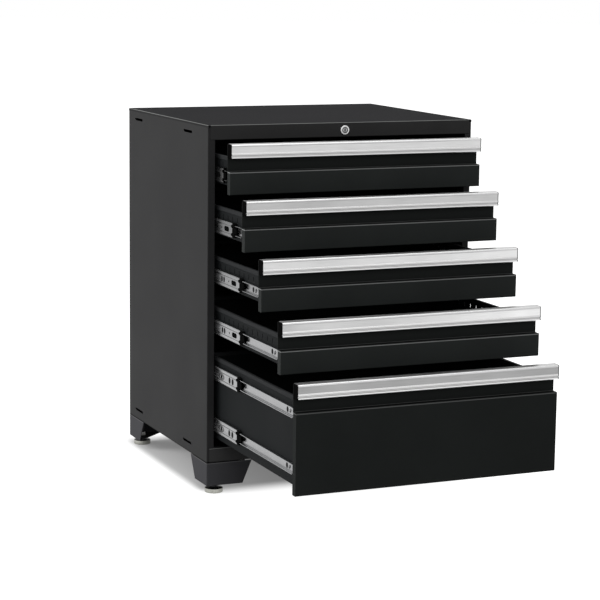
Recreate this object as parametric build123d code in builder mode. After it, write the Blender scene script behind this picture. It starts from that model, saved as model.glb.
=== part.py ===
from build123d import *
from dataclasses import dataclass
from math import cos, radians, sin
import os

# Cabinet body, folded from sheet. Lengths are in millimetres.
body_width = 711.2
body_depth = 590.0
body_height = 829.0
shell_sheet = 1.2
shell_bend = 2.4
stile_width = 17.6
corner_return = 6.6
header_height = 36.0
footer_height = 35.0
rail_return = 20.0
rail_lip = 6.0
rail_skirt = 14.0
roof_turndown = 6.0
rear_flange = 15.0
back_side_gap = 1.4

# Slots for bolting cabinets side by side.
join_slot_length = 60.0
join_slot_width = 6.5
join_slot_front = 140.0
join_slot_rear = 80.0
join_slot_top = 25.0
join_slot_bottom = 24.0

# Legs and their screw feet.
leg_height = 58.8
leg_sheet = 2.0
leg_seam = 1.6
leg_front_top = 119.0
leg_front_bottom = 95.0
leg_side_top = 114.0
leg_side_bottom = 83.0
leg_flange = 85.0
foot_from_side = 28.0
foot_from_front = 23.9
foot_radius = 22.4
foot_rim = 10.4
foot_edge = 0.8
foot_dome = 2.2
foot_hub_radius = 9.0
foot_hex_width = 15.0
foot_hex_height = 6.5
foot_stem_radius = 5.0
foot_stem_height = 50.0
foot_show = 21.4
running_gap = 0.05
bolt_near = 22.0
bolt_far = 70.0
bolt_radius = 4.0
bolt_slack = 0.25
bolt_head_radius = 7.0
bolt_head_height = 4.0
bolt_end = 9.0
nut_width = 13.0
nut_height = 6.5
foot_nut_width = 17.0
foot_nut_height = 8.0
thread_gap = 0.02

# Drawer fronts, pulls and boxes.
front_sheet = 1.2
front_bend = 2.0
front_side_gap = 4.35
opening_gap = 2.7
front_gap = 3.6
drawer_count = 5
small_count = 4
small_face_height = 54.6
face_depth = 17.4
face_lip = 14.0
finger_gap = 32.0
pull_height = 34.0
pull_proud = 6.1
pull_flange = 2.0
pull_wall = 3.0
pull_leg_height = 14.0
pull_leg_wall = 2.0
pull_nose = 4.8
pull_flat_set = 0.8
pull_ridge_drop = 21.4
pull_ridge_height = 5.2
pull_groove_set = 2.0
pull_groove_height = 1.6
pull_lip_corner = 1.2
pull_step = 0.8
cap_thickness = 2.0
box_sheet = 1.0
box_bend = 1.6
box_rear_room = 28.0
side_drop = 31.5
side_rise = 20.0
side_lip = 7.0
side_hem = 5.0
side_bead = 1.5
side_bead_height = 9.0
divider_slot_width = 3.0
divider_slot_height = 15.0
divider_slot_drop = 22.5
divider_slot_front = 44.0
divider_slot_rear = 35.0
divider_slot_pitch = 30.0

# Ball-bearing slides, one pair on a small drawer and two on the deep one.
slide_thickness = 12.7
slide_height = 45.7
slide_sheet = 1.2
slide_bend = 2.0
slide_setback = 20.0
slide_behind_stile = 2.2
slide_rear_room = 35.0
slide_reach = 10.5
middle_set = 2.9
middle_height = 36.0
middle_shorter = 35.0
middle_reach = 8.1
rail_height = 24.0
rail_reach = 7.1
rail_start = 1.4
rail_rear_room = 7.0
small_slide_drop = 77.0
deep_slide_drop = 68.0
deep_slide_rise = 58.8
seat_gap = 0.3
outer_cage_start = 60.0
outer_cage_length = 150.0
outer_cage_inset = 4.5
outer_cage_width = 5.0
guide_length = 200.0
guide_web = 1.0
guide_reach = 6.4
guide_tongue_length = 14.0
guide_tongue_height = 14.0
lance_length = 31.0
lance_width = 12.0
lance_place = 35.0
rivet_radius = 2.5
rivet_place = 67.0
key_slot_height = 14.0
key_slot_width = 8.0
key_slot_places = (98.0, 112.0)
deep_slot_places = (28.0, 48.0)
deep_hole_radius = 5.0
deep_hole_place = 100.0
notch_depth = 8.0
notch_height = 8.0
catch_slot_height = 11.5
catch_slot_place = 40.0

# Posts that carry the slides.
post_depth = 40.0
front_post_place = 24.0
rear_post_room = 45.0
post_from_bottom = 40.0
post_from_top = 60.0

# Lock in the header, and the bar it lifts behind the drawers.
lock_side = 3.3
lock_drop = 19.0
bezel_radius = 11.5
bezel_proud = 2.5
bezel_round = 0.8
lock_barrel_radius = 9.5
lock_barrel_length = 24.0
lock_hole_gap = 0.1
lock_nut_width = 24.0
lock_nut_height = 4.0
plug_radius = 6.5
plug_proud = 0.4
plug_tail = 1.0
keyway_width = 1.6
keyway_height = 8.0
keyway_depth = 6.0
cam_radius = 10.0
cam_thickness = 2.0
cam_pin_orbit = 6.0
cam_pin_radius = 2.0
cam_pin_length = 4.0
lock_turn = 90.0
pin_slot_gap = 0.4
yoke_gap = 0.5
yoke_thickness = 2.0
yoke_width = 20.0
yoke_height = 14.0
rod_width = 4.0
rod_height = 10.0
rod_bridge = 4.0
bar_width = 20.0
bar_thickness = 3.0
bar_behind_box = 16.0
bar_tail = 30.0
hook_thickness = 3.0
hook_from_box = 4.0
hook_width = 12.0
hook_nose = 7.0
hook_clearance = 1.5
catch_reach = 12.0
catch_lip = 9.0
catch_width = 24.0
catch_rise = 30.0
guide_block_wall = 2.0
guide_block_height = 20.0
guide_block_drop = 19.0

# How far each drawer, its middle slide members and its ball guides stand out at rest.
drawer_out = (89.1, 184.4, 288.7, 405.7, 497.5)
middle_out = (74.0, 133.0, 181.0, 187.0, 171.0)
guide_out = (84.0, 157.0, 205.0, 211.0, 195.0)

half_width = body_width / 2
opening_half = half_width - stile_width
header_half = half_width - corner_return
front_half = opening_half - front_side_gap
front_y = (drawer_out[-1] + pull_proud - body_depth) / 2
rear_y = front_y + body_depth
middle_y = front_y + body_depth / 2
bottom_z = foot_show + leg_height
top_z = bottom_z + body_height
opening_top = top_z - header_height
opening_height = body_height - header_height - footer_height
small_height = pull_height + finger_gap + small_face_height
deep_height = opening_height - 2 * opening_gap - small_count * (small_height + front_gap)
face_drop = pull_height + finger_gap
small_slide_drops = (small_slide_drop,)
deep_slide_drops = (deep_slide_drop, deep_height - deep_slide_rise)
slide_x = -(opening_half + slide_behind_stile)
box_half = -slide_x - slide_thickness
box_front = face_depth + front_sheet
box_length = body_depth - box_front - box_rear_room
slide_length = body_depth - slide_setback - slide_rear_room
middle_length = slide_length - middle_shorter
rail_length = box_length - rail_start - rail_rear_room
pull_depth = face_depth + pull_proud
lock_z = top_z - lock_drop
pin_angle = lock_turn / 2
pin_drop = cam_pin_orbit * sin(radians(pin_angle))
pin_inner = cam_pin_orbit * cos(radians(pin_angle))
lock_lift = 2 * pin_drop
lock_x = lock_side - (cam_pin_orbit + pin_inner) / 2
cam_front = front_y + lock_barrel_length + plug_tail
bar_y = front_y + box_front + box_length + bar_behind_box


@dataclass
class Drawer:
    """One drawer's place: its pull's top, its height, and how far out it stands."""

    name: str
    top: float
    height: float
    out: float
    middle_out: float
    guide_out: float
    slide_drops: tuple

    @property
    def box_y(self):
        """The front wall's back, where the box and the rails start."""
        return front_y - self.out + box_front

    @property
    def side_top(self):
        return self.top - side_drop

    @property
    def side_bottom(self):
        return self.top - self.height + side_rise

    @property
    def slide_heights(self):
        return [self.top - drop for drop in self.slide_drops]

    @property
    def deep(self):
        return len(self.slide_drops) > 1


def drawer_places():
    """The small drawers from the top down, then the deep one that fills what is left."""
    places = []
    for index in range(drawer_count):
        small = index < small_count
        places.append(
            Drawer(
                name=f"drawer_{index + 1}",
                top=opening_top - opening_gap - index * (small_height + front_gap),
                height=small_height if small else deep_height,
                out=drawer_out[index],
                middle_out=middle_out[index],
                guide_out=guide_out[index],
                slide_drops=small_slide_drops if small else deep_slide_drops,
            )
        )
    return places


def plane_at_y(y):
    """An upright plane across the cabinet, with local axes +X and +Z, facing the front."""
    return Plane.XZ.offset(-y)


def folded_section(points, thickness, bend):
    """Section of a folded sheet: its outer face follows the points, its metal is on their left."""
    with BuildSketch() as section:
        with BuildLine():
            FilletPolyline(*points, radius=bend)
            offset(amount=thickness, side=Side.LEFT)
        make_face()
    return section.sketch


def channel_section(web, reach, height, metal):
    """Section of a slide member about its own centre: web at the given x, flanges reaching away."""
    half = height / 2
    points = [(web + reach, half), (web, half), (web, -half), (web + reach, -half)]
    if reach < 0:
        points.reverse()
    return folded_section(points, metal, slide_bend)


def block(x, y, z, mode=Mode.ADD):
    """A box between three pairs of faces, added to the part in work or cut from it."""
    with Locations(((x[0] + x[1]) / 2, (y[0] + y[1]) / 2, (z[0] + z[1]) / 2)):
        Box(x[1] - x[0], y[1] - y[0], z[1] - z[0], mode=mode)


def mirrored(piece, about):
    with BuildPart() as copy:
        mirror(piece.part, about=about)
    return copy


def left_side():
    """Side skin with the stile folded in front and a narrow flange behind."""
    inner_rear = -half_width + rear_flange
    points = [(inner_rear, rear_y), (-half_width, rear_y), (-half_width, front_y), (-opening_half, front_y)]
    skin_top = top_z - roof_turndown
    with BuildPart() as panel:
        with BuildSketch(Plane.XY.offset(bottom_z)):
            add(folded_section(points, shell_sheet, shell_bend))
        extrude(amount=skin_top - bottom_z)
        notch_x = (-header_half, -opening_half)
        notch_y = (front_y, front_y + shell_sheet)
        for notch_z in ((opening_top, skin_top), (bottom_z, bottom_z + footer_height)):
            block(notch_x, notch_y, notch_z, mode=Mode.SUBTRACT)
        with BuildSketch(Plane.YZ.offset(-half_width)):
            for y in (front_y + join_slot_front, rear_y - join_slot_rear):
                for z in (top_z - join_slot_top, bottom_z + join_slot_bottom):
                    with Locations((y, z)):
                        SlotOverall(join_slot_length, join_slot_width)
        extrude(amount=shell_sheet, mode=Mode.SUBTRACT)
    return panel


def top_panel():
    """Roof sheet turned down to meet the side skins, notched for the header's top."""
    low = top_z - roof_turndown
    points = [(half_width, low), (half_width, top_z), (-half_width, top_z), (-half_width, low)]
    with BuildPart() as roof:
        with BuildSketch(plane_at_y(rear_y)):
            add(folded_section(points, shell_sheet, shell_bend))
        extrude(amount=body_depth)
        block(
            (-header_half, header_half),
            (front_y, front_y + rail_skirt),
            (top_z - shell_sheet, top_z),
            mode=Mode.SUBTRACT,
        )
    return roof


def bottom_panel():
    """Floor sheet between the side skins, drilled for the leg bolts."""
    inner_half = half_width - shell_sheet
    sheet_z = (bottom_z, bottom_z + shell_sheet)
    with BuildPart() as floor:
        block((-inner_half, inner_half), (front_y + shell_sheet, rear_y - shell_sheet), sheet_z)
        chamfer(floor.edges().filter_by(Axis.Z), shell_bend - shell_sheet)
        skirt_y = (front_y, front_y + rail_skirt)
        block((-header_half, header_half), skirt_y, sheet_z, mode=Mode.SUBTRACT)
        with BuildSketch(Plane.XY.offset(bottom_z)):
            with Locations(leg_bolt_places()):
                Circle(bolt_radius + bolt_slack)
        extrude(amount=shell_sheet, mode=Mode.SUBTRACT)
    return floor


def back_panel():
    inner_half = half_width - back_side_gap - shell_sheet
    with BuildPart() as back:
        block(
            (-inner_half, inner_half),
            (rear_y - 2 * shell_sheet, rear_y - shell_sheet),
            (bottom_z + shell_sheet, top_z - shell_sheet),
        )
    return back


def header_rail():
    """Front rail above the drawers: skirt on top, face, return and lip, with the lock's hole."""
    low = top_z - header_height
    points = [
        (front_y + rail_skirt, top_z),
        (front_y, top_z),
        (front_y, low),
        (front_y + rail_return, low),
        (front_y + rail_return, low + rail_lip),
    ]
    with BuildPart() as rail:
        with BuildSketch(Plane.YZ.offset(-header_half)):
            add(folded_section(points, shell_sheet, shell_bend))
        extrude(amount=2 * header_half)
        with BuildSketch(plane_at_y(front_y)):
            with Locations((lock_side, lock_z)):
                Circle(lock_barrel_radius + lock_hole_gap)
        extrude(amount=-shell_sheet, mode=Mode.SUBTRACT)
    return rail


def bottom_rail():
    """Front rail below the drawers, the header's section upside down."""
    high = bottom_z + footer_height
    points = [
        (front_y + rail_return, high - rail_lip),
        (front_y + rail_return, high),
        (front_y, high),
        (front_y, bottom_z),
        (front_y + rail_skirt, bottom_z),
    ]
    with BuildPart() as rail:
        with BuildSketch(Plane.YZ.offset(-header_half)):
            add(folded_section(points, shell_sheet, shell_bend))
        extrude(amount=2 * header_half)
    return rail


def slide_uprights():
    """Four channel posts between the side skins and the slides."""
    skin_x = -half_width + shell_sheet
    low = bottom_z + post_from_bottom
    with BuildPart() as posts:
        with BuildSketch(Plane.XY.offset(low)):
            for start in (front_y + front_post_place, rear_y - rear_post_room - post_depth):
                end = start + post_depth
                points = [(skin_x, end), (slide_x, end), (slide_x, start), (skin_x, start)]
                points.reverse()
                add(folded_section(points, shell_sheet, slide_bend))
        extrude(amount=top_z - post_from_top - low)
        mirror(about=Plane.YZ)
    return posts


def leg_bolt_places():
    """Bolt centres in plan, two to a leg."""
    places = []
    for near, far in ((bolt_near, bolt_far), (bolt_far, bolt_near)):
        for x in (-half_width + near, half_width - near):
            places += [(x, front_y + far), (x, rear_y - far)]
    return places


def foot_places():
    """Foot centres in plan, by the name of their corner."""
    x, inset = half_width - foot_from_side, foot_from_front
    return {
        "front_left": (-x, front_y + inset),
        "front_right": (x, front_y + inset),
        "rear_left": (-x, rear_y - inset),
        "rear_right": (x, rear_y - inset),
    }


def front_left_leg():
    """Corner leg: two slanting faces, a flange bolted to the body and a plate for the foot."""
    corner_x, low, high = -half_width, foot_show, bottom_z - leg_seam
    points = [(corner_x, front_y + leg_side_top), (corner_x, front_y), (corner_x + leg_front_top, front_y)]
    inside_x, inside_y = corner_x + leg_sheet, front_y + leg_sheet
    with BuildPart() as leg:
        with BuildSketch(Plane.XY.offset(low)):
            add(folded_section(points, leg_sheet, shell_bend))
        extrude(amount=high - low)
        block(
            (inside_x, inside_x + leg_flange),
            (inside_y, inside_y + leg_flange),
            (bottom_z - leg_sheet, bottom_z),
        )
        with BuildSketch(Plane.XY.offset(low)):
            with BuildLine():
                Polyline(
                    (inside_x, inside_y),
                    (corner_x + leg_front_bottom, inside_y),
                    (inside_x, front_y + leg_side_bottom),
                    close=True,
                )
            make_face()
        extrude(amount=leg_sheet)
        with BuildSketch(plane_at_y(front_y)):
            with BuildLine():
                Polyline(
                    (corner_x + leg_front_bottom, low),
                    (corner_x + leg_front_top, low),
                    (corner_x + leg_front_top, high),
                    close=True,
                )
            make_face()
        extrude(amount=-leg_sheet, mode=Mode.SUBTRACT)
        with BuildSketch(Plane.YZ.offset(corner_x)):
            with BuildLine():
                Polyline(
                    (front_y + leg_side_bottom, low),
                    (front_y + leg_side_top, low),
                    (front_y + leg_side_top, high),
                    close=True,
                )
            make_face()
        extrude(amount=leg_sheet, mode=Mode.SUBTRACT)
        with BuildSketch(Plane.XY.offset(bottom_z - leg_sheet)):
            with Locations(
                (corner_x + bolt_near, front_y + bolt_far), (corner_x + bolt_far, front_y + bolt_near)
            ):
                Circle(bolt_radius + bolt_slack)
        extrude(amount=leg_sheet, mode=Mode.SUBTRACT)
        with BuildSketch(Plane.XY.offset(low)):
            with Locations((corner_x + foot_from_side, front_y + foot_from_front)):
                Circle(foot_stem_radius + running_gap)
        extrude(amount=leg_sheet, mode=Mode.SUBTRACT)
    return leg


def leg_bolts():
    """Bolts up through the leg flanges and the floor sheet."""
    seat = bottom_z - leg_sheet
    with BuildPart() as bolts:
        with BuildSketch(Plane.XY.offset(seat)):
            with Locations(leg_bolt_places()):
                Circle(bolt_head_radius)
        extrude(amount=-bolt_head_height)
        with BuildSketch(Plane.XY.offset(seat)):
            with Locations(leg_bolt_places()):
                Circle(bolt_radius)
        extrude(amount=leg_sheet + shell_sheet + bolt_end)
    return bolts


def leg_nuts():
    """Nuts on the leg bolts, and the welded nuts that the feet screw into."""
    floor_top = bottom_z + shell_sheet
    plate_top = foot_show + leg_sheet
    with BuildPart() as nuts:
        with BuildSketch(Plane.XY.offset(floor_top)):
            with Locations(leg_bolt_places()):
                RegularPolygon(nut_width / 2, 6, major_radius=False)
                Circle(bolt_radius + thread_gap, mode=Mode.SUBTRACT)
        extrude(amount=nut_height)
        with BuildSketch(Plane.XY.offset(plate_top)):
            with Locations(list(foot_places().values())):
                RegularPolygon(foot_nut_width / 2, 6, major_radius=False)
                Circle(foot_stem_radius + running_gap, mode=Mode.SUBTRACT)
        extrude(amount=foot_nut_height)
    return nuts


def levelling_foot(x, y):
    """Screw foot: rimmed pad, domed hub, hexagon for the spanner and the stem."""
    hub_z = foot_rim + foot_dome
    with BuildPart() as foot:
        with BuildSketch(Plane((x, y, 0), x_dir=(1, 0, 0), z_dir=(0, -1, 0))):
            with BuildLine():
                Polyline(
                    (0, 0),
                    (foot_radius - foot_edge, 0),
                    (foot_radius, foot_edge),
                    (foot_radius, foot_rim),
                    (foot_hub_radius, hub_z),
                    (0, hub_z),
                    close=True,
                )
            make_face()
        revolve(axis=Axis((x, y, 0), (0, 0, 1)))
        with BuildSketch(Plane.XY.offset(hub_z)):
            with Locations((x, y)):
                RegularPolygon(foot_hex_width / 2, 6, major_radius=False)
        extrude(amount=foot_hex_height)
        with BuildSketch(Plane.XY.offset(hub_z)):
            with Locations((x, y)):
                Circle(foot_stem_radius)
        extrude(amount=foot_stem_height - hub_z)
    return foot


def cabinet_slide_members(drawers):
    """Fixed channels on the posts, each with its two ball cages along the flanges."""
    start = front_y + slide_setback
    cage_low = middle_height / 2 + seat_gap
    cage_high = slide_height / 2 - slide_sheet
    with BuildPart() as members:
        for drawer in drawers:
            for z in drawer.slide_heights:
                with BuildSketch(plane_at_y(start)):
                    with Locations((slide_x, z)):
                        add(channel_section(0, slide_reach, slide_height, slide_sheet))
                extrude(amount=-slide_length)
                with BuildSketch(plane_at_y(start + outer_cage_start)):
                    for side in (-1, 1):
                        cage_z = z + side * (cage_low + cage_high) / 2
                        with Locations((slide_x + outer_cage_inset + outer_cage_width / 2, cage_z)):
                            Rectangle(outer_cage_width, cage_high - cage_low)
                extrude(amount=-outer_cage_length)
        mirror(about=Plane.YZ)
    return members


def middle_slide_members(drawer):
    """Middle channels with their stampings near the front end."""
    start = front_y + slide_setback - drawer.middle_out
    web_x = slide_x + middle_set
    with BuildPart() as members:
        for z in drawer.slide_heights:
            with BuildSketch(plane_at_y(start)):
                with Locations((web_x, z)):
                    add(channel_section(0, middle_reach, middle_height, slide_sheet))
            extrude(amount=-middle_length)
            with BuildSketch(Plane.YZ.offset(web_x)):
                if drawer.deep:
                    for place in deep_slot_places:
                        with Locations((start + place, z)):
                            SlotOverall(key_slot_height, key_slot_width, rotation=90)
                    with Locations((start + deep_hole_place, z)):
                        Circle(deep_hole_radius)
                else:
                    with Locations((start + lance_place, z)):
                        SlotOverall(lance_length, lance_width)
                    with Locations((start + rivet_place, z)):
                        Circle(rivet_radius)
                    for place in key_slot_places:
                        with Locations((start + place, z)):
                            SlotOverall(key_slot_height, key_slot_width, rotation=90)
                for side in (-1, 1):
                    with Locations((start, z + side * (middle_height / 2 - notch_height))):
                        Ellipse(notch_depth, notch_height / 2)
            extrude(amount=slide_sheet, mode=Mode.SUBTRACT)
        mirror(about=Plane.YZ)
    return members


def drawer_slide_rails(drawer):
    """Inner channels on the box's sides, opening outwards into the middle members."""
    start = drawer.box_y + rail_start
    web_x = slide_x + slide_thickness
    with BuildPart() as rails:
        for z in drawer.slide_heights:
            with BuildSketch(plane_at_y(start)):
                with Locations((web_x, z)):
                    add(channel_section(0, -rail_reach, rail_height, slide_sheet))
            extrude(amount=-rail_length)
            with BuildSketch(Plane.YZ.offset(web_x)):
                with Locations((start + catch_slot_place, z)):
                    SlotOverall(catch_slot_height, key_slot_width, rotation=90)
                with Locations((start, z)):
                    Circle(notch_depth)
            extrude(amount=-slide_sheet, mode=Mode.SUBTRACT)
        mirror(about=Plane.YZ)
    return rails


def ball_guides(drawer):
    """Moulded ball cages between the middle members and the drawer's rails, each with a tongue in front."""
    tip = front_y + slide_setback - drawer.guide_out
    start = tip + guide_tongue_length
    web_x = slide_x + middle_set + slide_sheet + seat_gap
    outer = middle_height / 2 - slide_sheet - seat_gap
    inner = rail_height / 2 + seat_gap
    with BuildPart() as guides:
        for z in drawer.slide_heights:
            with BuildSketch(plane_at_y(start)):
                with Locations((web_x + guide_web / 2, z)):
                    Rectangle(guide_web, 2 * (outer - slide_bend))
                for side in (-1, 1):
                    with Locations((web_x + guide_reach / 2, z + side * (inner + outer) / 2)):
                        Rectangle(guide_reach, outer - inner)
            extrude(amount=-(guide_length - guide_tongue_length))
            with BuildSketch(plane_at_y(tip)):
                with Locations((web_x + guide_web / 2, z)):
                    Rectangle(guide_web, guide_tongue_height)
            extrude(amount=-guide_tongue_length)
        mirror(about=Plane.YZ)
    return guides


def drawer_box(drawer):
    """Drawer body with beaded and lipped sides, slots for dividers, and the catch for the lock bar."""
    low, high = drawer.side_bottom, drawer.side_top
    start, end = drawer.box_y, drawer.box_y + box_length
    lip_x = box_half - side_lip
    bead_x = box_half + side_bead
    bead_z = high - side_bead_height
    points = [
        (-lip_x, high - side_hem),
        (-lip_x, high),
        (-bead_x, high),
        (-bead_x, bead_z),
        (-box_half, bead_z - side_bead),
        (-box_half, low),
        (box_half, low),
        (box_half, bead_z - side_bead),
        (bead_x, bead_z),
        (bead_x, high),
        (lip_x, high),
        (lip_x, high - side_hem),
    ]
    inner_half = box_half - box_sheet
    slot_row = box_length - divider_slot_front - divider_slot_rear
    catch_z = low + catch_rise
    catch_x = (lock_x - catch_width / 2, lock_x + catch_width / 2)
    with BuildPart() as box:
        with BuildSketch(plane_at_y(start)):
            add(folded_section(points, box_sheet, box_bend))
        extrude(amount=-box_length)
        for wall_y in ((start, start + box_sheet), (end - box_sheet, end)):
            block((-inner_half, inner_half), wall_y, (low + box_sheet / 2, high - box_sheet / 2))
        block(catch_x, (end, end + catch_reach), (catch_z - box_sheet, catch_z))
        block(catch_x, (end + catch_reach - box_sheet, end + catch_reach), (catch_z - catch_lip, catch_z))
        if not drawer.deep:
            with BuildSketch(Plane.YZ.offset(-box_half)):
                for index in range(int(slot_row / divider_slot_pitch) + 1):
                    place = start + divider_slot_front + index * divider_slot_pitch
                    with Locations((place, high - divider_slot_drop)):
                        SlotOverall(divider_slot_height, divider_slot_width, rotation=90)
            extrude(amount=2 * box_half, mode=Mode.SUBTRACT)
    return box


def drawer_face(drawer):
    """Folded front: the wall behind the finger gap, the shelf, and the face with closed ends."""
    face_y = front_y - drawer.out
    wall_y = face_y + face_depth
    shelf, low = drawer.top - face_drop, drawer.top - drawer.height
    points = [
        (wall_y, drawer.top - pull_flange),
        (wall_y, shelf),
        (face_y, shelf),
        (face_y, low),
        (wall_y, low),
        (wall_y, low + face_lip),
    ]
    with BuildPart() as face:
        with BuildSketch(Plane.YZ.offset(-front_half)):
            add(folded_section(points, front_sheet, front_bend))
        extrude(amount=2 * front_half)
        for side in (-1, 1):
            ends = sorted((side * front_half, side * (front_half - front_sheet)))
            block(
                ends,
                (face_y + front_sheet / 2, wall_y),
                (low + front_sheet / 2, shelf - front_sheet / 2),
            )
    return face


def pull_outline(wall_y, top, back_y):
    """Front line of the pull's section: top, nose, brushed flat, ridge, groove and lip."""
    front = wall_y - pull_depth
    flat = front + pull_flat_set
    groove = front + pull_groove_set
    ridge_top = top - pull_ridge_drop
    ridge_low = ridge_top - pull_ridge_height
    groove_low = ridge_low - pull_step - pull_groove_height
    bottom = top - pull_height
    Line((back_y, top), (front + pull_nose, top))
    RadiusArc((front + pull_nose, top), (front, top - pull_nose), -pull_nose)
    Polyline(
        (front, top - pull_nose),
        (flat, top - pull_nose - pull_step),
        (flat, ridge_top),
        (front, ridge_top - pull_step),
        (front, ridge_low + pull_step),
        (flat, ridge_low),
        (groove, ridge_low - pull_step),
        (groove, groove_low),
        (front, groove_low - pull_step),
        (front, bottom + pull_lip_corner),
        (front + pull_lip_corner, bottom),
    )
    return front, bottom


def drawer_pull(drawer):
    """Full-width extruded pull: its top covers the front wall, and fingers go up behind its face."""
    wall_y = front_y - drawer.out + face_depth
    cover_y = wall_y + front_sheet
    under = drawer.top - pull_flange
    with BuildPart() as pull:
        with BuildSketch(Plane.YZ.offset(-front_half + cap_thickness)):
            with BuildLine():
                front, bottom = pull_outline(wall_y, drawer.top, cover_y)
                Polyline(
                    (front + pull_lip_corner, bottom),
                    (front + pull_wall, bottom),
                    (front + pull_wall, under),
                    (wall_y - pull_leg_wall, under),
                    (wall_y - pull_leg_wall, drawer.top - pull_leg_height),
                    (wall_y, drawer.top - pull_leg_height),
                    (wall_y, under),
                    (cover_y, under),
                    (cover_y, drawer.top),
                )
            make_face()
        extrude(amount=2 * (front_half - cap_thickness))
    return pull


def pull_end_caps(drawer):
    """Moulded caps that close the pull's ends."""
    wall_y = front_y - drawer.out + face_depth
    with BuildPart() as caps:
        with BuildSketch(Plane.YZ.offset(-front_half)):
            with BuildLine():
                front, bottom = pull_outline(wall_y, drawer.top, wall_y)
                Polyline((front + pull_lip_corner, bottom), (wall_y, bottom), (wall_y, drawer.top))
            make_face()
        extrude(amount=cap_thickness)
        mirror(about=Plane.YZ)
    return caps


def lock_housing():
    """Lock barrel with its rounded bezel in front of the header."""
    with BuildPart() as housing:
        with BuildSketch(plane_at_y(front_y)):
            with Locations((lock_side, lock_z)):
                Circle(bezel_radius)
        extrude(amount=bezel_proud)
        fillet(housing.edges().group_by(Axis.Y)[0], bezel_round)
        with BuildSketch(plane_at_y(front_y)):
            with Locations((lock_side, lock_z)):
                Circle(lock_barrel_radius)
        extrude(amount=-lock_barrel_length)
        with BuildSketch(plane_at_y(front_y - bezel_proud)):
            with Locations((lock_side, lock_z)):
                Circle(plug_radius + running_gap)
        extrude(amount=-lock_barrel_length - bezel_proud, mode=Mode.SUBTRACT)
    return housing


def lock_nut():
    with BuildPart() as nut:
        with BuildSketch(plane_at_y(front_y + shell_sheet)):
            with Locations((lock_side, lock_z)):
                RegularPolygon(lock_nut_width / 2, 6, major_radius=False)
                Circle(lock_barrel_radius + thread_gap, mode=Mode.SUBTRACT)
        extrude(amount=-lock_nut_height)
    return nut


def lock_plug():
    """Turning plug with its upright keyway."""
    face_y = front_y - bezel_proud + plug_proud
    with BuildPart() as plug:
        with BuildSketch(plane_at_y(face_y)):
            with Locations((lock_side, lock_z)):
                Circle(plug_radius)
        extrude(amount=face_y - cam_front)
        with BuildSketch(plane_at_y(face_y)):
            with Locations((lock_side, lock_z)):
                Rectangle(keyway_width, keyway_height)
        extrude(amount=-keyway_depth, mode=Mode.SUBTRACT)
    return plug


def lock_cam():
    """Disc on the plug's tail, with the pin that lifts the bar's yoke."""
    with BuildPart() as cam:
        with BuildSketch(plane_at_y(cam_front)):
            with Locations((lock_side, lock_z)):
                Circle(cam_radius)
        extrude(amount=-cam_thickness)
        with BuildSketch(plane_at_y(cam_front + cam_thickness)):
            with Locations((lock_side - pin_inner, lock_z - pin_drop)):
                Circle(cam_pin_radius)
        extrude(amount=-cam_pin_length)
    return cam


def lock_bar(drawers):
    """Slotted yoke at the cam, rod under the roof, and the hooked bar behind the drawers."""
    yoke_y = cam_front + cam_thickness + yoke_gap
    yoke_z = lock_z - pin_drop
    yoke_top = yoke_z + yoke_height / 2
    rod_y = yoke_y + yoke_thickness + cam_pin_length
    slot_width = 2 * (cam_pin_radius + pin_slot_gap)
    slot_length = slot_width + cam_pin_orbit - pin_inner
    rod_x = (lock_x - rod_width / 2, lock_x + rod_width / 2)
    bar_x = (lock_x - bar_width / 2, lock_x + bar_width / 2)
    hook_x = (lock_x - hook_width / 2, lock_x + hook_width / 2)
    with BuildPart() as bar:
        with BuildSketch(plane_at_y(yoke_y)):
            with Locations((lock_x, yoke_z)):
                Rectangle(yoke_width, yoke_height)
                SlotOverall(slot_length, slot_width, mode=Mode.SUBTRACT)
        extrude(amount=-yoke_thickness)
        block(bar_x, (yoke_y + yoke_thickness, rod_y), (yoke_top - rod_bridge, yoke_top))
        block(rod_x, (rod_y, bar_y + bar_thickness), (yoke_top - rod_height, yoke_top))
        block(bar_x, (bar_y, bar_y + bar_thickness), (drawers[-1].side_bottom - bar_tail, yoke_top))
        for drawer in drawers:
            nose_top = drawer.side_bottom + catch_rise - catch_lip - hook_clearance
            arm_top = nose_top - hook_nose
            hook_y = bar_y - bar_behind_box + hook_from_box
            block(hook_x, (hook_y, bar_y), (arm_top - hook_thickness, arm_top))
            block(hook_x, (hook_y, hook_y + hook_thickness), (arm_top, nose_top))
    return bar


def lock_bar_guides(drawers):
    """Two blocks on the back panel that the lock bar slides in."""
    half = bar_width / 2 + seat_gap
    front = bar_y - seat_gap
    with BuildPart() as guides:
        for low in (drawers[-1].side_bottom - guide_block_drop, drawers[0].side_top):
            z = (low, low + guide_block_height)
            block(
                (lock_x - half - guide_block_wall, lock_x + half + guide_block_wall),
                (front - guide_block_wall, rear_y - 2 * shell_sheet),
                z,
            )
            slot_y = (front, bar_y + bar_thickness + seat_gap)
            block((lock_x - half, lock_x + half), slot_y, z, mode=Mode.SUBTRACT)
    return guides


def save(name, piece):
    piece.part.label = name
    export_step(piece.part, f"parts/{name}.step")


os.makedirs("parts", exist_ok=True)
drawers = drawer_places()

left_panel = left_side()
save("left_side_panel", left_panel)
save("right_side_panel", mirrored(left_panel, Plane.YZ))
save("top_panel", top_panel())
save("bottom_panel", bottom_panel())
save("back_panel", back_panel())
save("header_rail", header_rail())
save("bottom_rail", bottom_rail())
save("slide_uprights", slide_uprights())

left_leg = front_left_leg()
right_leg = mirrored(left_leg, Plane.YZ)
save("front_left_leg", left_leg)
save("front_right_leg", right_leg)
save("rear_left_leg", mirrored(left_leg, Plane.XZ.offset(-middle_y)))
save("rear_right_leg", mirrored(right_leg, Plane.XZ.offset(-middle_y)))
save("leg_bolts", leg_bolts())
save("leg_nuts", leg_nuts())
for corner, (foot_x, foot_y) in foot_places().items():
    save(f"{corner}_foot", levelling_foot(foot_x, foot_y))

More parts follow.
